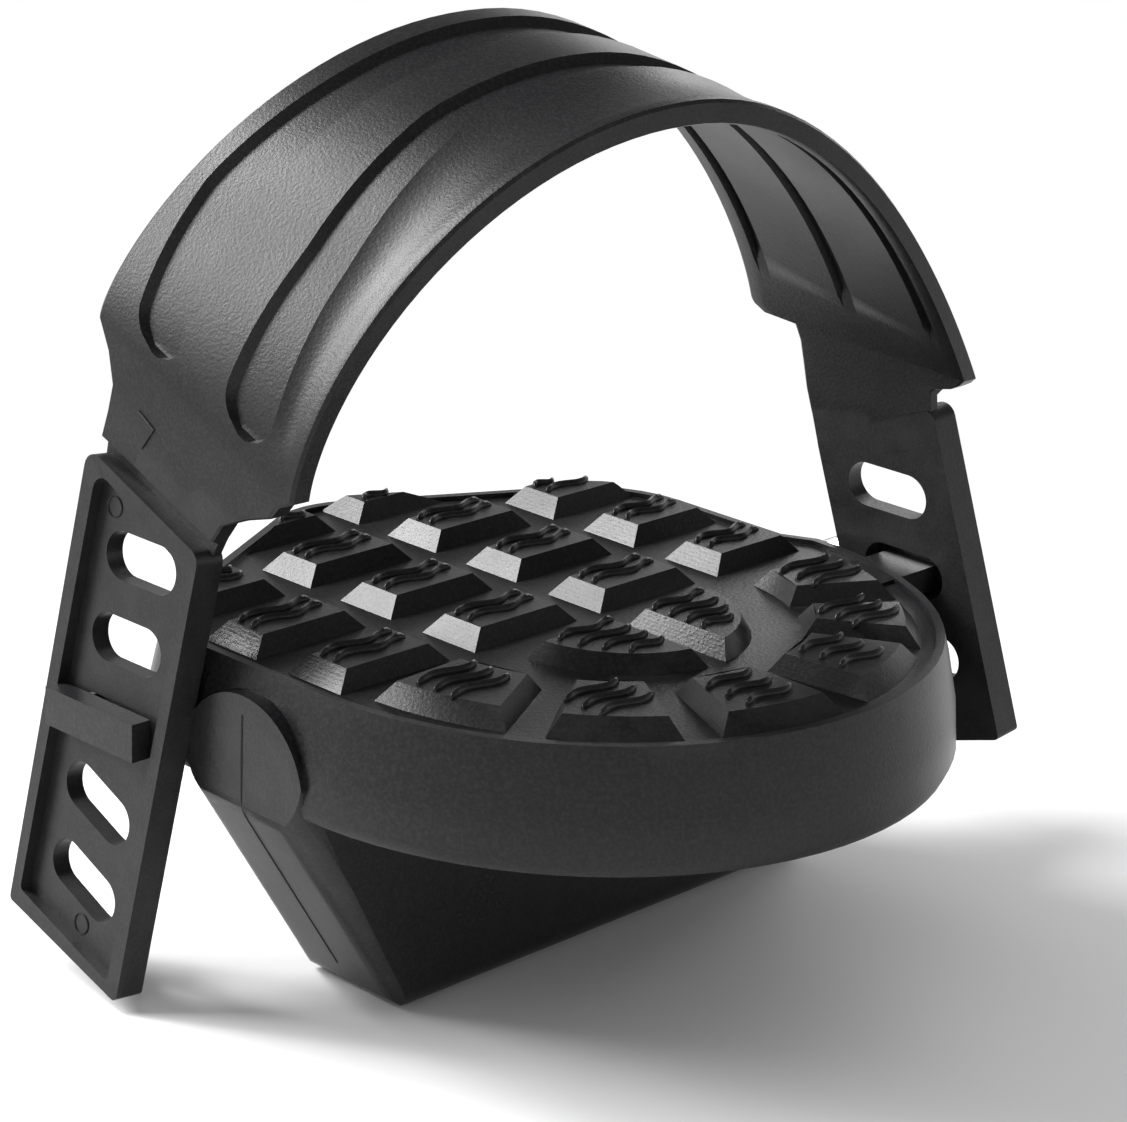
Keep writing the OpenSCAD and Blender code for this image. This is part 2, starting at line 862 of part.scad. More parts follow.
// A flat ring of the sheet below an end of the band, side -1 or +1:
// row is [x back, z back, x front, z front, dip]
function sheet_ring(side, row) =
    [
        for (p = band_section(90 * side, 0, row[4]))
            let (
                x = row[0] + (row[2] - row[0]) * p[0],
                z = row[1] + (row[3] - row[1]) * p[0],
                lean = max(0, hinge_z - z) * tan(splay)
            )
            [x, mid_y + side * (hinge_in + band_t - p[1] + lean), z]
    ];

// The near sheet from its end plate up to the band, and the crank-side sheet down
hinge_dip = 1.5;
near_sheet = [
    [-29.2, 35.6, -7.4, 27.2, hinge_dip], [-28.7, 38.6, -6.1, 30, hinge_dip],
    [-28.5, 39.2, -5.8, 30.6, 0], [-27.2, 43, -4.2, 33, 0], [-26.3, 46.6, 0.5, 35, 0],
    [-27.2, 51, 4.5, 36.2, 0]
];
far_sheet = [
    [5.2, 42.6, 33.8, 42.4, 0], [6, 39.6, 32.4, 41.6, 0], [6.9, 36, 29.6, 41, 0],
    [7.7, 33, 29.1, 40.4, 0], [8, 32, 29.1, 39.8, hinge_dip], [8.9, 28.2, 29.4, 36.9, hinge_dip]
];

module band() {
    rings = concat(
        [for (row = near_sheet) sheet_ring(-1, row)],
        [for (a = band_angles) band_ring(a)],
        [for (row = far_sheet) sheet_ring(1, row)]
    );
    n = len(rings[0]);
    last = len(rings) - 1;
    polyhedron(
        points = [for (ring = rings) each ring],
        faces = concat(
            [[for (i = [0:n - 1]) i]],
            [
                for (k = [0:last - 1])
                    for (i = [0:n - 1])
                        let (j = (i + 1) % n)
                        each [
                            [k * n + j, k * n + i, k * n + n + i],
                            [k * n + j, k * n + n + i, k * n + n + j]
                        ]
            ],
            [[for (i = [n - 1:-1:0]) last * n + i]]
        )
    );
}

// Middle line of an end plate at height z: it leans with depth
function plate_x(side, z) = side < 0 ? -22.8 + 0.14 * z : 28.6 - 0.273 * z;
function plate_half(side) = plate_w / 2 * (side < 0 ? 1.02 : 0.98);

// An end plate's outline, drawn in by d: heights of its back and front corners
plate_top = [[37.1, 28.3], [29.5, 38.5]];
plate_foot = [[-28.5, -35.4], [-15.3, -8.3]];
foot_corner_r = 0.8;
function plate_outline(side, d) =
    let (
        k = side < 0 ? 0 : 1,
        h = plate_half(side) - d,
        t = plate_top[k],
        f = plate_foot[k]
    )
    [
        [plate_x(side, t[0]) - h, t[0] - d * 1.2, 2],
        [plate_x(side, f[0]) - h, f[0] + d, foot_corner_r],
        [plate_x(side, f[1]) + h, f[1] + d * 1.1, foot_corner_r],
        [plate_x(side, t[1]) + h, t[1] - d * 1.2, 2]
    ];

// A slot with round ends, turned by an angle
module slot(angle) {
    reach = (slot_l - slot_h) / 2;
    rotate(angle) {
        for (side = [-1, 1])
            translate([side * reach, 0]) circle(r = slot_h / 2, $fn = 32);
        square([2 * reach, slot_h], center = true);
    }
}

// Turns a drawing in X and Z, hung from the hinge line, to the plate's plane
module hung(side, depth, start = 0) {
    translate([0, mid_y + side * hinge_in, hinge_z])
        rotate([side * splay, 0, 0])
            translate([0, side * start + (side > 0 ? depth : 0), -hinge_z])
                rotate([90, 0, 0])
                    linear_extrude(height = depth)
                        children();
}

// Heights of the slots, from the top, with the angle of each
hook_slot_z = [near_hook[1] - 1, far_hook[1] + 0.5];
near_slots = [for (k = [-2:2]) [hook_slot_z[0] - k * slot_pitch, k > 0 ? -22 : 0]];
far_slots = [for (k = [-1:1]) [hook_slot_z[1] - k * slot_pitch, 0]];

// An end plate: a framed pad with a row of slots
module end_plate(side) {
    slots = side < 0 ? near_slots : far_slots;
    difference() {
        hung(side, plate_t) polygon(rounded(plate_outline(side, 0)));
        hung(side, recess_d + 1, plate_t - recess_d)
            polygon(rounded(plate_outline(side, frame_w)));
        for (s = slots)
            hung(side, plate_t + 2, -1)
                translate([plate_x(side, s[0]), s[0]]) slot(s[1]);
    }
}

// One moulding: the band over the shoe and its two slotted end plates
module toe_strap() {
    color("#202022")
        union() {
            band();
            end_plate(-1);
            end_plate(1);
        }
}

pedal_body();
toe_strap();
counterweight();
weight_cover();
cover_screws();
spindle();
retaining_nut();
axle_seal();
crank_side_bush();
axle_sleeve();
inner_cup();
inner_balls();
inner_ball_cage();
inner_cone();
outer_cup();
outer_balls();
outer_ball_cage();
adjusting_cone();
keyed_washer();
locknut();
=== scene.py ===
# %% [markdown]
# A right-hand pedal of an exercise cycle, dressed over its CAD solids.
# The real pedal is two black mouldings, a tread body with a heavy keel and a toe strap on hooks,
# and a steel spindle that turns inside the body on two rows of balls.
# The solids are already exact, so this lesson adds what a mould and a workshop add:
# softened edges, wavy grip ridges, seams, mould marks and worn finishes.

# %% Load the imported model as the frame
import json
import math
import bpy
from mathutils import Matrix, Vector


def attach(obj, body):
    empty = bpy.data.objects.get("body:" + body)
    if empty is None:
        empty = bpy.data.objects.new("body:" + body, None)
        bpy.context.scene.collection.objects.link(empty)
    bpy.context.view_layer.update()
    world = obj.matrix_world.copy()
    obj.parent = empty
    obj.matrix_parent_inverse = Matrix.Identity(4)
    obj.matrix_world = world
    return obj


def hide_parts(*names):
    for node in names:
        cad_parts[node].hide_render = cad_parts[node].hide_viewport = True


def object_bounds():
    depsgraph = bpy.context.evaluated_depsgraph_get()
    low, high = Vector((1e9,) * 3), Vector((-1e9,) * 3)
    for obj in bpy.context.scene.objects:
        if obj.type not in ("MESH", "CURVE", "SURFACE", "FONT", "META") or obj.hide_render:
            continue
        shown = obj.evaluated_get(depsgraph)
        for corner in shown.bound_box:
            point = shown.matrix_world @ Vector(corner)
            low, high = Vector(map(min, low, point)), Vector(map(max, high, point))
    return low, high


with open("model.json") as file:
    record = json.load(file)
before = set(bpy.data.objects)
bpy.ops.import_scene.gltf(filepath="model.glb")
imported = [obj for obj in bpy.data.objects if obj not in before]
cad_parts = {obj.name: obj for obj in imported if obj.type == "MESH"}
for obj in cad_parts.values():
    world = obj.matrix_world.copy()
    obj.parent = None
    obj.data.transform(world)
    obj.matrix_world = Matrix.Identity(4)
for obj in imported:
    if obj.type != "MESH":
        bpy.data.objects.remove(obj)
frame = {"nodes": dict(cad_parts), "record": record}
MM = 0.001
cad_box = [list(corner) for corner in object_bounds()]
print("CAD box in metres:", cad_box)

# %% [markdown]
# The camera stands a little above the pedal's outer front corner and looks along a long lens,
# as the photograph does. Its place and its three axes were solved from points of the photograph,
# so they are written as numbers here: aiming by eye would shift every edge.

# %% Camera
FOCAL_PIXELS = 3500
PHOTO_WIDTH = 1127
view_right = Vector((0.71472, 0.69823, 0.04071))
view_up = Vector((-0.25566, 0.20664, 0.94443))
view_back = Vector((0.65101, -0.68541, 0.32620))
view_place = Vector((0.31258, -0.38237, 0.17360))

lens = bpy.data.cameras.new("photo_view")
lens.sensor_width = 36.0
lens.lens = FOCAL_PIXELS / PHOTO_WIDTH * 36.0
camera = bpy.data.objects.new("photo_view", lens)
camera.matrix_world = Matrix((
    (view_right.x, view_up.x, view_back.x, view_place.x),
    (view_right.y, view_up.y, view_back.y, view_place.y),
    (view_right.z, view_up.z, view_back.z, view_place.z),
    (0, 0, 0, 1),
))
bpy.context.scene.collection.objects.link(camera)
bpy.context.scene.camera = camera
bpy.context.scene.view_settings.view_transform = "Standard"
print("lens in mm:", round(lens.lens, 1))

# %% [markdown]
# The pedal stands on a white sheet that runs off into white light. The floor is one plane.
# Near the pedal it is matt, to keep the soft shadow. Further off it turns to plain white,
# but only for the camera and for reflections, so that it throws no extra light on the pedal.

# %% Selection and node helpers, and the floor
def select_only(*pieces):
    """Leaves nothing selected but these pieces, the last one active."""
    bpy.ops.object.select_all(action="DESELECT")
    for piece in pieces:
        piece.select_set(True)
    bpy.context.view_layer.objects.active = pieces[-1]


def add_node(tree, kind, **settings):
    """Adds a shader node and sets its plain settings."""
    node = tree.nodes.new(kind)
    for name, value in settings.items():
        setattr(node, name, value)
    return node


FLOOR_GAP = 0.05
FLOOR_Z = cad_box[0][2] - FLOOR_GAP * MM
bpy.ops.object.select_all(action="DESELECT")
bpy.ops.mesh.primitive_plane_add(size=8, location=(0, -0.05, FLOOR_Z))
floor = bpy.context.object
floor.name = "floor"
bpy.ops.object.transform_apply(location=True, rotation=True, scale=True)
print("floor at z =", round(FLOOR_Z, 5))

# %% Floor material: matt near the pedal, plain white far away
SHADOW_CENTRE = (0.06, -0.12, FLOOR_Z)
MATT_RADIUS, WHITE_RADIUS = 0.10, 0.36
sheet = bpy.data.materials.new("white_sheet")
sheet.use_nodes = True
tree = sheet.node_tree
shader = tree.nodes["Principled BSDF"]
shader.inputs["Base Color"].default_value = (0.80, 0.80, 0.80, 1)
shader.inputs["Roughness"].default_value = 0.9
shader.inputs["Specular IOR Level"].default_value = 0.1
where = add_node(tree, "ShaderNodeTexCoord")
centre = add_node(tree, "ShaderNodeVectorMath", operation="DISTANCE")
centre.inputs[1].default_value = SHADOW_CENTRE
fade = add_node(tree, "ShaderNodeMapRange", interpolation_type="SMOOTHSTEP")
fade.inputs["From Min"].default_value = MATT_RADIUS
fade.inputs["From Max"].default_value = WHITE_RADIUS
path = add_node(tree, "ShaderNodeLightPath")
seen = add_node(tree, "ShaderNodeMath", operation="ADD", use_clamp=True)
share = add_node(tree, "ShaderNodeMath", operation="MULTIPLY")
glow = add_node(tree, "ShaderNodeEmission")
glow.inputs["Color"].default_value = (1, 1, 1, 1)
mixer = add_node(tree, "ShaderNodeMixShader")
tree.links.new(where.outputs["Object"], centre.inputs[0])
tree.links.new(centre.outputs["Value"], fade.inputs["Value"])
tree.links.new(path.outputs["Is Camera Ray"], seen.inputs[0])
tree.links.new(path.outputs["Is Glossy Ray"], seen.inputs[1])
tree.links.new(fade.outputs["Result"], share.inputs[0])
tree.links.new(seen.outputs["Value"], share.inputs[1])
tree.links.new(share.outputs["Value"], mixer.inputs[0])
tree.links.new(shader.outputs["BSDF"], mixer.inputs[1])
tree.links.new(glow.outputs["Emission"], mixer.inputs[2])
tree.links.new(mixer.outputs["Shader"], tree.nodes["Material Output"].inputs["Surface"])
floor.data.materials.append(sheet)

# %% [markdown]
# One large soft light stands up on the left, where it mirrors in the leaning ends of the tread's
# blocks and in the crest of the strap, which is what makes those the brightest places.
# A second one, lower and further round to the front, mirrors in the half disc's steeper flat side.
# A weak one behind keeps the far edge of the strap from sinking into black.
# The world lights the scene evenly, and the camera and reflections see it as a bright wall
# under a dim ceiling.

# %% Lights
TARGET = Vector((0, -0.06, 0.02))


def soft_light(name, direction, distance, size, watts):
    """An area light that looks at the pedal from a direction."""
    lamp = bpy.data.lights.new(name, "AREA")
    lamp.shape = "RECTANGLE"
    lamp.size, lamp.size_y = size
    lamp.energy = watts
    holder = bpy.data.objects.new(name, lamp)
    toward = Vector(direction).normalized()
    holder.location = TARGET + toward * distance
    holder.rotation_euler = toward.to_track_quat("Z", "Y").to_euler()
    bpy.context.scene.collection.objects.link(holder)


soft_light("key_light", (-0.65, -0.33, 0.69), 1.1, (0.30, 0.34), 11.5)
soft_light("side_light", (-0.65, -0.58, 0.49), 1.1, (0.40, 0.32), 12.0)
soft_light("back_light", (-0.35, 0.85, 0.40), 1.2, (0.6, 0.4), 2.5)

# %% World: even light, with a bright wall and a dim ceiling in reflections
WALL_TOP, CEILING_FROM = 0.16, 0.42
WALL_LEVEL, CEILING_LEVEL, EVEN_LEVEL = 1.0, 0.16, 0.62
world = bpy.data.worlds.new("studio")
world.use_nodes = True
sky = world.node_tree
background = sky.nodes["Background"]
background.inputs["Color"].default_value = (1, 1, 1, 1)
sky_path = add_node(sky, "ShaderNodeLightPath")
sky_seen = add_node(sky, "ShaderNodeMath", operation="ADD", use_clamp=True)
sky_where = add_node(sky, "ShaderNodeTexCoord")
sky_axes = add_node(sky, "ShaderNodeSeparateXYZ")
ceiling = add_node(sky, "ShaderNodeMapRange", interpolation_type="SMOOTHSTEP")
ceiling.inputs["From Min"].default_value = WALL_TOP
ceiling.inputs["From Max"].default_value = CEILING_FROM
ceiling.inputs["To Min"].default_value = WALL_LEVEL
ceiling.inputs["To Max"].default_value = CEILING_LEVEL
sky_level = add_node(sky, "ShaderNodeMapRange")
sky_level.inputs["To Min"].default_value = EVEN_LEVEL
sky.links.new(sky_path.outputs["Is Camera Ray"], sky_seen.inputs[0])
sky.links.new(sky_path.outputs["Is Glossy Ray"], sky_seen.inputs[1])
sky.links.new(sky_where.outputs["Generated"], sky_axes.inputs["Vector"])
sky.links.new(sky_axes.outputs["Z"], ceiling.inputs["Value"])
sky.links.new(sky_seen.outputs["Value"], sky_level.inputs["Value"])
sky.links.new(ceiling.outputs["Result"], sky_level.inputs["To Max"])
sky.links.new(sky_level.outputs["Result"], background.inputs["Strength"])
bpy.context.scene.world = world
print("world:", world.name)

# %% [markdown]
# Black moulded plastic is never one flat black. The mould's sparked surface leaves a fine grain,
# the melt leaves slow cloudy changes of gloss, and handling rubs the edges a little paler.
# Each of these is a node group, so that all the mouldings share one recipe at their own scale.

# %% Group helper and the moulded grain
def new_group(name, inputs, outputs):
    """A shader node group with named number sockets, and its input and output nodes."""
    group = bpy.data.node_groups.new(name, "ShaderNodeTree")
    for label, value in inputs.items():
        socket = group.interface.new_socket(label, in_out="INPUT", socket_type="NodeSocketFloat")
        socket.default_value = value
    for label in outputs:
        group.interface.new_socket(label, in_out="OUTPUT", socket_type="NodeSocketFloat")
    start = group.nodes.new("NodeGroupInput")
    end = group.nodes.new("NodeGroupOutput")
    return group, start, end


grain, start, end = new_group("moulded grain", {"Grains per metre": 2200.0}, ["Height", "Speckle"])
where = add_node(grain, "ShaderNodeTexCoord")
coarse = add_node(grain, "ShaderNodeTexNoise")
coarse.inputs["Detail"].default_value = 3.0
coarse.inputs["Roughness"].default_value = 0.6
cells = add_node(grain, "ShaderNodeTexVoronoi")
half = add_node(grain, "ShaderNodeMath", operation="MULTIPLY")
half.inputs[1].default_value = 0.35
total = add_node(grain, "ShaderNodeMath", operation="ADD")
speckle = add_node(grain, "ShaderNodeMapRange")
speckle.inputs["From Min"].default_value = 0.42
speckle.inputs["From Max"].default_value = 0.72
grain.links.new(where.outputs["Object"], coarse.inputs["Vector"])
grain.links.new(where.outputs["Object"], cells.inputs["Vector"])
grain.links.new(start.outputs["Grains per metre"], coarse.inputs["Scale"])
grain.links.new(start.outputs["Grains per metre"], cells.inputs["Scale"])
grain.links.new(cells.outputs["Distance"], half.inputs[0])
grain.links.new(coarse.outputs["Fac"], total.inputs[0])
grain.links.new(half.outputs["Value"], total.inputs[1])
grain.links.new(coarse.outputs["Fac"], speckle.inputs["Value"])
grain.links.new(total.outputs["Value"], end.inputs["Height"])
grain.links.new(speckle.outputs["Result"], end.inputs["Speckle"])
print("group:", grain.name)

# %% Cloudy gloss and edge wear
cloud, start, end = new_group("cloudy gloss", {"Clouds per metre": 55.0}, ["Cloud"])
where = add_node(cloud, "ShaderNodeTexCoord")
drift = add_node(cloud, "ShaderNodeTexNoise")
drift.inputs["Detail"].default_value = 4.0
spread = add_node(cloud, "ShaderNodeMapRange")
spread.inputs["From Min"].default_value = 0.3
spread.inputs["From Max"].default_value = 0.7
cloud.links.new(where.outputs["Object"], drift.inputs["Vector"])
cloud.links.new(start.outputs["Clouds per metre"], drift.inputs["Scale"])
cloud.links.new(drift.outputs["Fac"], spread.inputs["Value"])
cloud.links.new(spread.outputs["Result"], end.inputs["Cloud"])

edges, start, end = new_group("edge wear", {"Amount": 0.5, "Patches per metre": 300.0}, ["Worn"])
where = add_node(edges, "ShaderNodeTexCoord")
shape = add_node(edges, "ShaderNodeNewGeometry")
crest = add_node(edges, "ShaderNodeMapRange")
crest.inputs["From Min"].default_value = 0.52
crest.inputs["From Max"].default_value = 0.60
patches = add_node(edges, "ShaderNodeTexNoise")
patches.inputs["Detail"].default_value = 3.0
broken = add_node(edges, "ShaderNodeMath", operation="MULTIPLY")
amount = add_node(edges, "ShaderNodeMath", operation="MULTIPLY", use_clamp=True)
edges.links.new(shape.outputs["Pointiness"], crest.inputs["Value"])
edges.links.new(where.outputs["Object"], patches.inputs["Vector"])
edges.links.new(start.outputs["Patches per metre"], patches.inputs["Scale"])
edges.links.new(crest.outputs["Result"], broken.inputs[0])
edges.links.new(patches.outputs["Fac"], broken.inputs[1])
edges.links.new(broken.outputs["Value"], amount.inputs[0])
edges.links.new(start.outputs["Amount"], amount.inputs[1])
edges.links.new(amount.outputs["Value"], end.inputs["Worn"])
print("groups:", cloud.name, edges.name)

# %% The cutter's fine level lines on the leaning ends of the tread blocks
ENDS_FACE_Y, ENDS_ABOVE = -0.45, 13.8
lines, start, end = new_group("cutter lines", {"Lines per metre": 2400.0}, ["Height", "Where"])
where = add_node(lines, "ShaderNodeTexCoord")
place = add_node(lines, "ShaderNodeSeparateXYZ")
facing = add_node(lines, "ShaderNodeSeparateXYZ")
turns = add_node(lines, "ShaderNodeMath", operation="MULTIPLY")
radians = add_node(lines, "ShaderNodeMath", operation="MULTIPLY")
radians.inputs[1].default_value = 2 * math.pi
wave = add_node(lines, "ShaderNodeMath", operation="SINE")
level = add_node(lines, "ShaderNodeMath", operation="LESS_THAN")
level.inputs[1].default_value = ENDS_FACE_Y
above = add_node(lines, "ShaderNodeMath", operation="GREATER_THAN")
above.inputs[1].default_value = ENDS_ABOVE * MM
on_ends = add_node(lines, "ShaderNodeMath", operation="MULTIPLY")
lines.links.new(where.outputs["Object"], place.inputs["Vector"])
lines.links.new(where.outputs["Normal"], facing.inputs["Vector"])
lines.links.new(place.outputs["Z"], turns.inputs[0])
lines.links.new(start.outputs["Lines per metre"], turns.inputs[1])
lines.links.new(turns.outputs["Value"], radians.inputs[0])
lines.links.new(radians.outputs["Value"], wave.inputs[0])
lines.links.new(facing.outputs["Y"], level.inputs[0])
lines.links.new(place.outputs["Z"], above.inputs[0])
lines.links.new(level.outputs["Value"], on_ends.inputs[0])
lines.links.new(above.outputs["Value"], on_ends.inputs[1])
lines.links.new(wave.outputs["Value"], end.inputs["Height"])
lines.links.new(on_ends.outputs["Value"], end.inputs["Where"])
print("groups:", [g.name for g in bpy.data.node_groups])

# %% [markdown]
# The two mouldings, the cover and the nut are the same kind of plastic with different grain.
# Grain and cutter's lines drive a bump, speckle and wear the colour, and cloud the gloss.
# One function places the groups, and each material gives it its own numbers.

# %% Moulded plastic
def group_in(tree, group, **values):
    """Places a shared group in a material with its own values."""
    node = tree.nodes.new("ShaderNodeGroup")
    node.node_tree = group
    for label, value in values.items():
        node.inputs[label.replace("_", " ")].default_value = value
    return node


def blend(tree, share, low, high):
    """A colour between low, which is a colour or an output, and the colour high, by a mask."""
    mix = add_node(tree, "ShaderNodeMix", data_type="RGBA")
    if isinstance(low, tuple):
        mix.inputs["A"].default_value = (*low, 1)
    else:
        tree.links.new(low, mix.inputs["A"])
    mix.inputs["B"].default_value = (*high, 1)
    tree.links.new(share, mix.inputs["Factor"])
    return mix.outputs["Result"]


def between(tree, value, low, high):
    """A number between low and high, by a mask."""
    node = add_node(tree, "ShaderNodeMapRange")
    node.inputs["To Min"].default_value = low
    node.inputs["To Max"].default_value = high
    tree.links.new(value, node.inputs["Value"])
    return node.outputs["Result"]


PLASTIC_SHINE, LINE_SHARE = 0.27, 0.07


def moulded(name, dark, pale, worn, gloss, grains, depth, lined=False):
    """Black moulded plastic: grain in the bump, speckle and wear in the colour, cloud in the gloss."""
    material = bpy.data.materials.new(name)
    material.use_nodes = True
    tree = material.node_tree
    shader = tree.nodes["Principled BSDF"]
    shader.inputs["Specular IOR Level"].default_value = PLASTIC_SHINE
    grain_node = group_in(tree, grain, Grains_per_metre=grains)
    cloud_node = group_in(tree, cloud)
    worn_node = group_in(tree, edges, Amount=0.5)
    speckled = blend(tree, grain_node.outputs["Speckle"], dark, pale)
    coloured = blend(tree, worn_node.outputs["Worn"], speckled, worn)
    tree.links.new(coloured, shader.inputs["Base Color"])
    rough = between(tree, cloud_node.outputs["Cloud"], gloss[0], gloss[1])
    tree.links.new(rough, shader.inputs["Roughness"])
    bump = add_node(tree, "ShaderNodeBump")
    bump.inputs["Distance"].default_value = depth
    height = grain_node.outputs["Height"]
    if lined:
        line_node = group_in(tree, lines)
        masked = add_node(tree, "ShaderNodeMath", operation="MULTIPLY")
        shallow = add_node(tree, "ShaderNodeMath", operation="MULTIPLY")
        shallow.inputs[1].default_value = LINE_SHARE
        both = add_node(tree, "ShaderNodeMath", operation="ADD")
        tree.links.new(line_node.outputs["Height"], masked.inputs[0])
        tree.links.new(line_node.outputs["Where"], masked.inputs[1])
        tree.links.new(masked.outputs["Value"], shallow.inputs[0])
        tree.links.new(shallow.outputs["Value"], both.inputs[0])
        tree.links.new(height, both.inputs[1])
        height = both.outputs["Value"]
    tree.links.new(height, bump.inputs["Height"])
    tree.links.new(bump.outputs["Normal"], shader.inputs["Normal"])
    return material


body_black = moulded(
    "body_black", (0.007, 0.007, 0.008), (0.018, 0.018, 0.019), (0.040, 0.040, 0.041),
    (0.27, 0.35), 1900.0, 0.00003, lined=True)
strap_black = moulded(
    "strap_black", (0.007, 0.007, 0.008), (0.017, 0.017, 0.018), (0.040, 0.040, 0.041),
    (0.32, 0.40), 2300.0, 0.00003)
nut_black = moulded(
    "nut_black", (0.026, 0.026, 0.028), (0.04, 0.04, 0.042), (0.08, 0.08, 0.082),
    (0.40, 0.50), 2600.0, 0.00002)
print("plastics:", body_black.name, strap_black.name, nut_black.name)

# %% [markdown]
# The solids have knife edges, and no mould can make those. A copy of each moulding is merged.
# On the tread the flat facets are joined and a small bevel rounds every real edge. On the strap,
# whose band is all curved facets, only the square edges of the end plates get a narrow chamfer.
# Rounding in the CAD instead would make thousands of slow faces.

# %% The two mouldings, copied from the solids
def copy_of(node_name, piece_name, flatten=True):
    """A copy of a CAD node's mesh, merged, with its flat facets joined where asked."""
    piece = bpy.data.objects.new(piece_name, frame["nodes"][node_name].data.copy())
    bpy.context.scene.collection.objects.link(piece)
    piece.data.materials.clear()
    select_only(piece)
    bpy.ops.object.mode_set(mode="EDIT")
    bpy.ops.mesh.select_all(action="SELECT")
    bpy.ops.mesh.remove_doubles(threshold=0.00001)
    bpy.ops.mesh.customdata_custom_splitnormals_clear()
    if flatten:
        bpy.ops.mesh.dissolve_limited(angle_limit=math.radians(0.6))
    bpy.ops.mesh.select_mode(type="EDGE")
    bpy.ops.mesh.select_all(action="DESELECT")
    bpy.ops.object.mode_set(mode="OBJECT")
    return piece


def soften(piece, width, angle=30, smooth=35):
    """Rounds the edges sharper than an angle, then shades the rest smooth."""
    select_only(piece)
    bevel = piece.modifiers.new("soft_edges", "BEVEL")
    bevel.width = width
    bevel.segments = 2
    bevel.limit_method = "ANGLE"
    bevel.angle_limit = math.radians(angle)
    bevel.use_clamp_overlap = True
    bpy.ops.object.modifier_apply(modifier=bevel.name)
    bpy.ops.object.shade_smooth_by_angle(angle=math.radians(smooth))
    weighted = piece.modifiers.new("flat_faces_lead", "WEIGHTED_NORMAL")
    weighted.keep_sharp = True
    bpy.ops.object.modifier_apply(modifier=weighted.name)
    print(piece.name, "has", len(piece.data.polygons), "faces")


def chamfer_edges(piece, width, below, angle=60, smooth=32):
    """A narrow chamfer on the square edges that lie below a height in mm, the rest left crisp."""
    mesh = piece.data
    around = {}
    for face in mesh.polygons:
        for key in face.edge_keys:
            around.setdefault(key, []).append(face.normal)
    for edge in mesh.edges:
        sides = around[edge.key]
        square = len(sides) == 2 and sides[0].angle(sides[1], 0) > math.radians(angle)
        low = all(mesh.vertices[i].co.z < below * MM for i in edge.vertices)
        edge.select = square and low
    select_only(piece)
    bpy.ops.object.mode_set(mode="EDIT")
    bpy.ops.mesh.bevel(offset=width, segments=1, clamp_overlap=True)
    bpy.ops.object.mode_set(mode="OBJECT")
    bpy.ops.object.shade_smooth_by_angle(angle=math.radians(smooth))
    print(piece.name, "has", len(piece.data.polygons), "faces")


EDGE_WIDTH, PLATE_TOP = 0.22, 33.0
tread_moulding = copy_of("pedal_body", "tread_moulding")
soften(tread_moulding, EDGE_WIDTH * MM)
tread_moulding.data.materials.append(body_black)
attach(tread_moulding, "pedal")
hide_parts("pedal_body")

strap_moulding = copy_of("toe_strap", "strap_moulding", flatten=False)
chamfer_edges(strap_moulding, EDGE_WIDTH * MM, below=PLATE_TOP)
strap_moulding.data.materials.append(strap_black)
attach(strap_moulding, "pedal")
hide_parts("toe_strap")

# %% [markdown]
# Every block carries raised wavy ridges that grip the sole, one or two on an oblong block, three
# on a ring block and four on a half disc. Displacing the top would need a dense mesh, so one ridge
# is drawn like a squeezed bead: a small disc is extruded in steps that sway from side to side,
# and its ends are drawn in.

# %% One wavy ridge
FLOOR_TOP, BLOCK_HEIGHT, MID_Y = 13.6, 2.5, -60.0
BLOCK_TOP = FLOOR_TOP + BLOCK_HEIGHT
END_SHARE, RIDGE_RISE = 0.45, 1.5


def wavy_ridge(name, length, sway, waves, phase, radius=0.52, steps=18):
    """A bead along +Y from the origin, all in mm, that sways in X."""
    bpy.ops.object.select_all(action="DESELECT")
    bpy.ops.mesh.primitive_circle_add(
        vertices=8, radius=radius * END_SHARE * MM, fill_type="NGON",
        location=(0, 0, 0), rotation=(math.radians(90), 0, 0))
    ridge = bpy.context.object
    ridge.name = name
    bpy.ops.object.mode_set(mode="EDIT")
    bpy.ops.mesh.select_all(action="SELECT")

    def sway_at(k):
        return sway * math.sin(2 * math.pi * waves * k / steps + phase)

    for k in range(steps):
        move = ((sway_at(k + 1) - sway_at(k)) * MM, length / steps * MM, 0)
        bpy.ops.mesh.extrude_region_move(TRANSFORM_OT_translate={"value": move})
        if k == 0 or k == steps - 1:
            centre = (sway_at(k + 1) - sway_at(0), length / steps * (k + 1), 0)
            size = 1 / END_SHARE if k == 0 else END_SHARE
            bpy.ops.transform.resize(
                value=(size, 1, size), center_override=tuple(c * MM for c in centre))
    bpy.ops.mesh.select_all(action="SELECT")
    bpy.ops.transform.resize(value=(1, 1, RIDGE_RISE), center_override=(0, 0, 0))
    bpy.ops.mesh.normals_make_consistent(inside=False)
    bpy.ops.object.mode_set(mode="OBJECT")
    bpy.ops.object.transform_apply(location=True, rotation=True, scale=True)
    bpy.ops.object.shade_smooth_by_angle(angle=math.radians(60))
    return ridge


LENGTHS = {"long": 14.4, "mid": 12.4, "short": 9.6}
pattern = {
    "long": wavy_ridge("ridge_long", LENGTHS["long"], 0.6, 1.7, 2.4),
    "mid": wavy_ridge("ridge_mid", LENGTHS["mid"], 0.6, 1.5, 2.4),
    "short": wavy_ridge("ridge_short", LENGTHS["short"], 0.5, 1.2, 2.3, steps=14),
}
print("ridge patterns:", {k: len(v.data.polygons) for k, v in pattern.items()})

# %% Ridges on the oblong blocks, shorter where the tail's slanting edge cuts the block
SHORTEST = 3.5


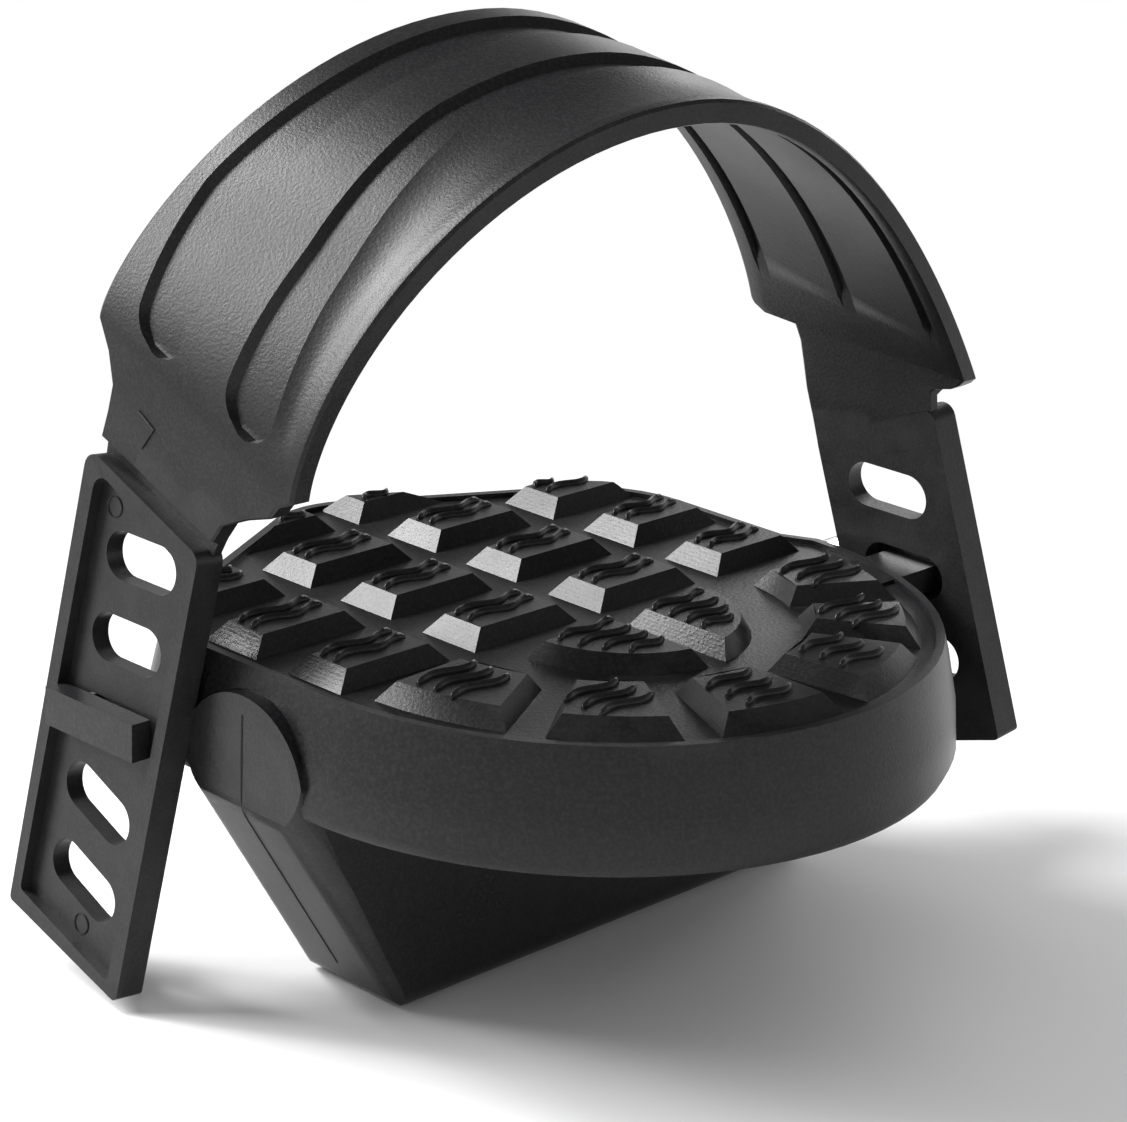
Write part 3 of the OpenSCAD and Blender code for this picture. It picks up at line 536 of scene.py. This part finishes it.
def laid(kind, x, near, length):
    """A copy of a pattern with its own mesh, stretched to a length from x, near on the block tops."""
    ridge = bpy.data.objects.new("ridge", pattern[kind].data.copy())
    bpy.context.scene.collection.objects.link(ridge)
    move = Matrix.Translation(Vector((x, near, BLOCK_TOP)) * MM)
    ridge.data.transform(move @ Matrix.Diagonal((1, length / LENGTHS[kind], 1, 1)))
    return ridge


def fitted(x, near, far):
    """The pattern nearest in length, laid from near to far, or nothing if that is too short."""
    length = far - near
    if length < SHORTEST:
        return []
    kind = min(LENGTHS, key=lambda name: abs(LENGTHS[name] - length))
    return [laid(kind, x, near, length)]


ridges = []
FIRST_X, FIRST_Y, PITCH_X, PITCH_Y = -46.4, MID_Y - 44.9, 16.0, 23.55
TAIL_X, TAIL_SWEEP, TAIL_MARGIN = 47.8, 0.51, 3.4
RIDGE_START, RIDGE_RUN, LAST_ROW_RUN = 3.0, 12.9, 11.4
ONE_ACROSS, TWO_ACROSS = (7.4,), (2.9, 5.4)
for row, columns in enumerate([(1, 2, 3), (0, 1, 2, 3), (0, 1, 2, 3), (1, 2, 3)]):
    for column in columns:
        near = FIRST_Y + row * PITCH_Y + RIDGE_START
        far = near + (LAST_ROW_RUN if row == 3 else RIDGE_RUN)
        for across in ONE_ACROSS if column == 0 else TWO_ACROSS:
            x = FIRST_X + column * PITCH_X + across
            reach = (x + TAIL_X - TAIL_MARGIN) / TAIL_SWEEP
            ridges += fitted(x, max(near, MID_Y - reach), min(far, MID_Y + reach))
print("ridges on oblong blocks:", len(ridges))

# %% Ridges on the half discs: four side by side, shorter towards the rim
DISC_X, DISC_NEAR = 17.2, 3.4
DISC_RIDGES = [(2.6, 14.4), (5.6, 13.8), (8.6, 12.4), (11.4, 10.2)]
for side in (-1, 1):
    for across, far in DISC_RIDGES:
        y = MID_Y + DISC_NEAR if side > 0 else MID_Y - far
        ridges += fitted(DISC_X + across, y, y + far - DISC_NEAR)
print("ridges with the half discs:", len(ridges))

# %% Ridges on the ring blocks: three each, along Y as on the other blocks
RING_X, RING_IN, RING_OUT = 13.4, 27.3, 43.0
RING_RUN, RING_RUN_MORE, RING_SHIFT = 8.6, 2.4, -0.4
CLOSE_STEP, WIDE_STEP, CLOSE_FROM = 3.0, 3.4, 20
ring_angles = [(-87, -61.5), (-55, -32), (-25.5, -0.5), (6.5, 31), (36, 54), (62, 82)]
for low, high in ring_angles:
    middle = math.radians((low + high) / 2)
    reach = (RING_IN + RING_OUT) / 2
    x = RING_X + reach * math.cos(middle) + RING_SHIFT
    y = MID_Y + reach * math.sin(middle)
    length = RING_RUN + RING_RUN_MORE * abs(math.sin(middle))
    step = CLOSE_STEP if abs(low + high) / 2 > CLOSE_FROM else WIDE_STEP
    for k in (-1, 0, 1):
        ridges.append(laid("short", x + k * step, y - length / 2, length))
print("ridges with the ring blocks:", len(ridges))

# %% Join the ridges to one piece
select_only(*ridges)
bpy.ops.object.join()
grip_ridges = bpy.context.object
grip_ridges.name = "grip_ridges"
grip_ridges.data.materials.clear()
grip_ridges.data.materials.append(body_black)
for source in pattern.values():
    bpy.data.objects.remove(source)
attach(grip_ridges, "pedal")
print("ridges laid:", len(ridges), "faces:", len(grip_ridges.data.polygons))

# %% [markdown]
# Where the halves of the mould met, a hair-thin seam runs down the middle of the keel's slanted end.
# Round pins that pushed the strap out of the mould left rings on its end plate, and a small chevron
# below the band shows which way the strap faces. All are thin beads laid on the surface.

# %% A bead along a path, for seams and raised lines
def bead(name, points, radius, sides=6):
    """A thin round bead through points in mm: a disc extruded from point to point."""
    path = [Vector(p) * MM for p in points]
    along = (path[1] - path[0]).normalized()
    bpy.ops.object.select_all(action="DESELECT")
    bpy.ops.mesh.primitive_circle_add(
        vertices=sides, radius=radius * MM, fill_type="NGON", location=path[0],
        rotation=along.to_track_quat("Z", "Y").to_euler())
    piece = bpy.context.object
    piece.name = name
    bpy.ops.object.mode_set(mode="EDIT")
    bpy.ops.mesh.select_all(action="SELECT")
    for before, after in zip(path, path[1:]):
        bpy.ops.mesh.extrude_region_move(TRANSFORM_OT_translate={"value": tuple(after - before)})
    bpy.ops.mesh.select_all(action="SELECT")
    bpy.ops.mesh.normals_make_consistent(inside=False)
    bpy.ops.object.mode_set(mode="OBJECT")
    bpy.ops.object.transform_apply(location=True, rotation=True, scale=True)
    bpy.ops.object.shade_smooth_by_angle(angle=math.radians(60))
    return piece


RAY_FROM_Y = -140


def found_on(piece, x, z):
    """The first point of a piece that a ray along +Y meets at x, z, all in mm."""
    hit, place, *_ = piece.ray_cast(Vector((x, RAY_FROM_Y, z)) * MM, Vector((0, 1, 0)))
    if not hit:
        raise ValueError(f"no surface of {piece.name} on the ray at {x}, {z}")
    return place / MM


SEAM_RADIUS = 0.16
seam_path = [found_on(tread_moulding, 0, z) for z in range(9, -33, -2)]
keel_seam = bead("keel_seam", seam_path, SEAM_RADIUS)
keel_seam.data.materials.append(body_black)
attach(keel_seam, "pedal")
print("seam points:", len(seam_path))

# %% Ring marks and chevron on the strap's near end
PLATE_MARKS = [(-25.4, 30.2), (-25.6, -27.4)]
MARK_R, MARK_STEPS, MARK_WIRE = 1.4, 24, 0.18
CHEVRON, CHEVRON_WIRE = [(-20.6, 44.2), (-17.6, 42.4), (-20.0, 39.4)], 0.22
marks = []
for x, z in PLATE_MARKS:
    turns = [2 * math.pi * k / MARK_STEPS for k in range(MARK_STEPS + 1)]
    ring = [found_on(strap_moulding, x + MARK_R * math.cos(t), z + MARK_R * math.sin(t)) for t in turns]
    marks.append(bead("pin_mark", ring, MARK_WIRE))
arrow = [found_on(strap_moulding, x, z) for x, z in CHEVRON]
marks.append(bead("chevron", arrow, CHEVRON_WIRE))
select_only(*marks)
bpy.ops.object.join()
mould_marks = bpy.context.object
mould_marks.name = "mould_marks"
mould_marks.data.materials.clear()
mould_marks.data.materials.append(strap_black)
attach(mould_marks, "pedal")
print("mould marks:", len(marks))

# %% [markdown]
# Steel parts differ by how they were made. Turned parts keep rings from the tool, plated parts are
# cloudy, and the weight is a sawn bar. The rings are a stretched noise, read along the axle,
# which costs nothing and never repeats as a cut pattern would.

# %% Metals, rubber, ivory bush and brass
def finished(name, colour, second, rough, metal, stretch, depth):
    """A finish from stretched noise: fine marks in the bump and the gloss, colour from slow clouds and
    rubbed edges.
    """
    material = bpy.data.materials.new(name)
    material.use_nodes = True
    tree = material.node_tree
    shader = tree.nodes["Principled BSDF"]
    shader.inputs["Metallic"].default_value = metal
    where = add_node(tree, "ShaderNodeTexCoord")
    mapping = add_node(tree, "ShaderNodeMapping")
    mapping.inputs["Scale"].default_value = stretch
    marks = add_node(tree, "ShaderNodeTexNoise")
    marks.inputs["Scale"].default_value = 1.0
    marks.inputs["Detail"].default_value = 4.0
    cloud_node = group_in(tree, cloud, Clouds_per_metre=160.0)
    worn_node = group_in(tree, edges, Amount=0.6)
    tree.links.new(where.outputs["Object"], mapping.inputs["Vector"])
    tree.links.new(mapping.outputs["Vector"], marks.inputs["Vector"])
    tinted = blend(tree, cloud_node.outputs["Cloud"], colour, second)
    paler = tuple(min(1.0, c * 1.25 + 0.02) for c in colour)
    tree.links.new(blend(tree, worn_node.outputs["Worn"], tinted, paler), shader.inputs["Base Color"])
    tree.links.new(between(tree, marks.outputs["Fac"], rough[0], rough[1]), shader.inputs["Roughness"])
    bump = add_node(tree, "ShaderNodeBump")
    bump.inputs["Distance"].default_value = depth
    tree.links.new(marks.outputs["Fac"], bump.inputs["Height"])
    tree.links.new(bump.outputs["Normal"], shader.inputs["Normal"])
    return material


RINGS = (150.0, 9000.0, 150.0)
EVEN = (2500.0, 2500.0, 2500.0)
SAWN = (300.0, 300.0, 6000.0)
finish = {
    "spindle_steel": finished(
        "turned_steel", (0.54, 0.55, 0.57), (0.44, 0.45, 0.47), (0.24, 0.42),
        1.0, RINGS, 0.00001),
    "plated_steel": finished(
        "zinc_plate", (0.60, 0.61, 0.62), (0.50, 0.51, 0.50), (0.28, 0.46),
        1.0, EVEN, 0.000008),
    "bearing_steel": finished(
        "ground_steel", (0.50, 0.51, 0.54), (0.44, 0.45, 0.48), (0.16, 0.30),
        1.0, RINGS, 0.000004),
    "ball_steel": finished(
        "polished_ball", (0.80, 0.81, 0.83), (0.76, 0.77, 0.80), (0.05, 0.10),
        1.0, EVEN, 0.000001),
    "weight_steel": finished(
        "sawn_bar", (0.26, 0.26, 0.27), (0.20, 0.17, 0.15), (0.50, 0.75),
        0.8, SAWN, 0.00004),
    "cage_brass": finished(
        "pressed_brass", (0.70, 0.50, 0.22), (0.62, 0.42, 0.18), (0.25, 0.42),
        1.0, EVEN, 0.000006),
    "seal_rubber": finished(
        "seal_rubber", (0.035, 0.035, 0.036), (0.05, 0.05, 0.05), (0.70, 0.85),
        0.0, EVEN, 0.00002),
    "bush_plastic": finished(
        "ivory_bush", (0.72, 0.68, 0.56), (0.66, 0.61, 0.48), (0.42, 0.58),
        0.0, EVEN, 0.00001),
    "nut_plastic": nut_black,
    "body_plastic": body_black,
}
print("finishes:", sorted(finish))

# %% [markdown]
# The crank thread is a V groove that climbs 1.27 mm a turn, 20 turns to the inch. A spun profile
# would have to be joined to the collar and the hexagon socket, so a copy of the solid is used:
# its plain wall is cut into fine rows and columns, and each point is drawn in by the thread's depth.

# %% Copy of the spindle, and where its thread lies
THREAD_R, THREAD_PITCH, THREAD_DEPTH = 7.14375, 1.27, 0.78
THREAD_FROM, THREAD_TO, ROWS_A_TURN = 0.5, 13.0, 8
RUN_IN, RUN_OUT, GROOVE_SLOPE, HAIR = 1.0, 0.6, 1.15, 0.01
spindle_turned = copy_of("spindle", "spindle_turned")
print("thread turns:", round((THREAD_TO - THREAD_FROM) / THREAD_PITCH, 1))


def on_wall(vertex):
    """Whether a point lies on the plain wall that takes the thread, a hair allowed."""
    far_out = math.hypot(vertex.co.x, vertex.co.z) > (THREAD_R - 2 * HAIR) * MM
    return far_out and (THREAD_FROM - HAIR) * MM < vertex.co.y < (THREAD_TO + HAIR) * MM


# %% Cut the wall into rows and draw the groove in
rows = int((THREAD_TO - THREAD_FROM) / THREAD_PITCH * ROWS_A_TURN)
bpy.ops.object.mode_set(mode="EDIT")
bpy.ops.mesh.select_mode(type="EDGE")
bpy.ops.mesh.select_all(action="SELECT")
bpy.ops.mesh.bisect(plane_co=(0, THREAD_FROM * MM, 0), plane_no=(0, 1, 0))
bpy.ops.mesh.select_all(action="DESELECT")
bpy.ops.object.mode_set(mode="OBJECT")
mesh = spindle_turned.data
for edge in mesh.edges:
    a, b = (mesh.vertices[i] for i in edge.vertices)
    edge.select = on_wall(a) and on_wall(b) and abs(a.co.y - b.co.y) > 1.0 * MM
bpy.ops.object.mode_set(mode="EDIT")
bpy.ops.mesh.subdivide(number_cuts=rows - 1)
bpy.ops.object.mode_set(mode="OBJECT")
moved = 0
for vertex in mesh.vertices:
    if not on_wall(vertex):
        continue
    y = vertex.co.y / MM
    turn = math.atan2(vertex.co.x, vertex.co.z) / (2 * math.pi)
    share = (y / THREAD_PITCH + turn) % 1.0
    ends = min(1.0, max(0.0, (y - THREAD_FROM) / RUN_IN), max(0.0, (THREAD_TO - y) / RUN_OUT))
    depth = THREAD_DEPTH * ends * max(0.0, 1.0 - abs(2 * share - 1) * GROOVE_SLOPE)
    scale = (THREAD_R - depth) / THREAD_R
    vertex.co.x *= scale
    vertex.co.z *= scale
    moved += 1
bpy.ops.object.shade_smooth_by_angle(angle=math.radians(30))
spindle_turned.data.materials.append(finish["spindle_steel"])
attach(spindle_turned, "spindle")
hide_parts("spindle")
print("thread rows:", rows, "points drawn in:", moved)

# %% Give every retained node its finish
slots = {part["node"]: part["material_slot"] for part in frame["record"]["subparts"]}
replaced = ("pedal_body", "toe_strap", "spindle")
for name, node in frame["nodes"].items():
    if name in replaced:
        continue
    node.data.materials.clear()
    node.data.materials.append(finish[slots[name]])
    select_only(node)
    bpy.ops.object.shade_smooth_by_angle(angle=math.radians(35))
print("nodes with a finish:", len(frame["nodes"]) - len(replaced))
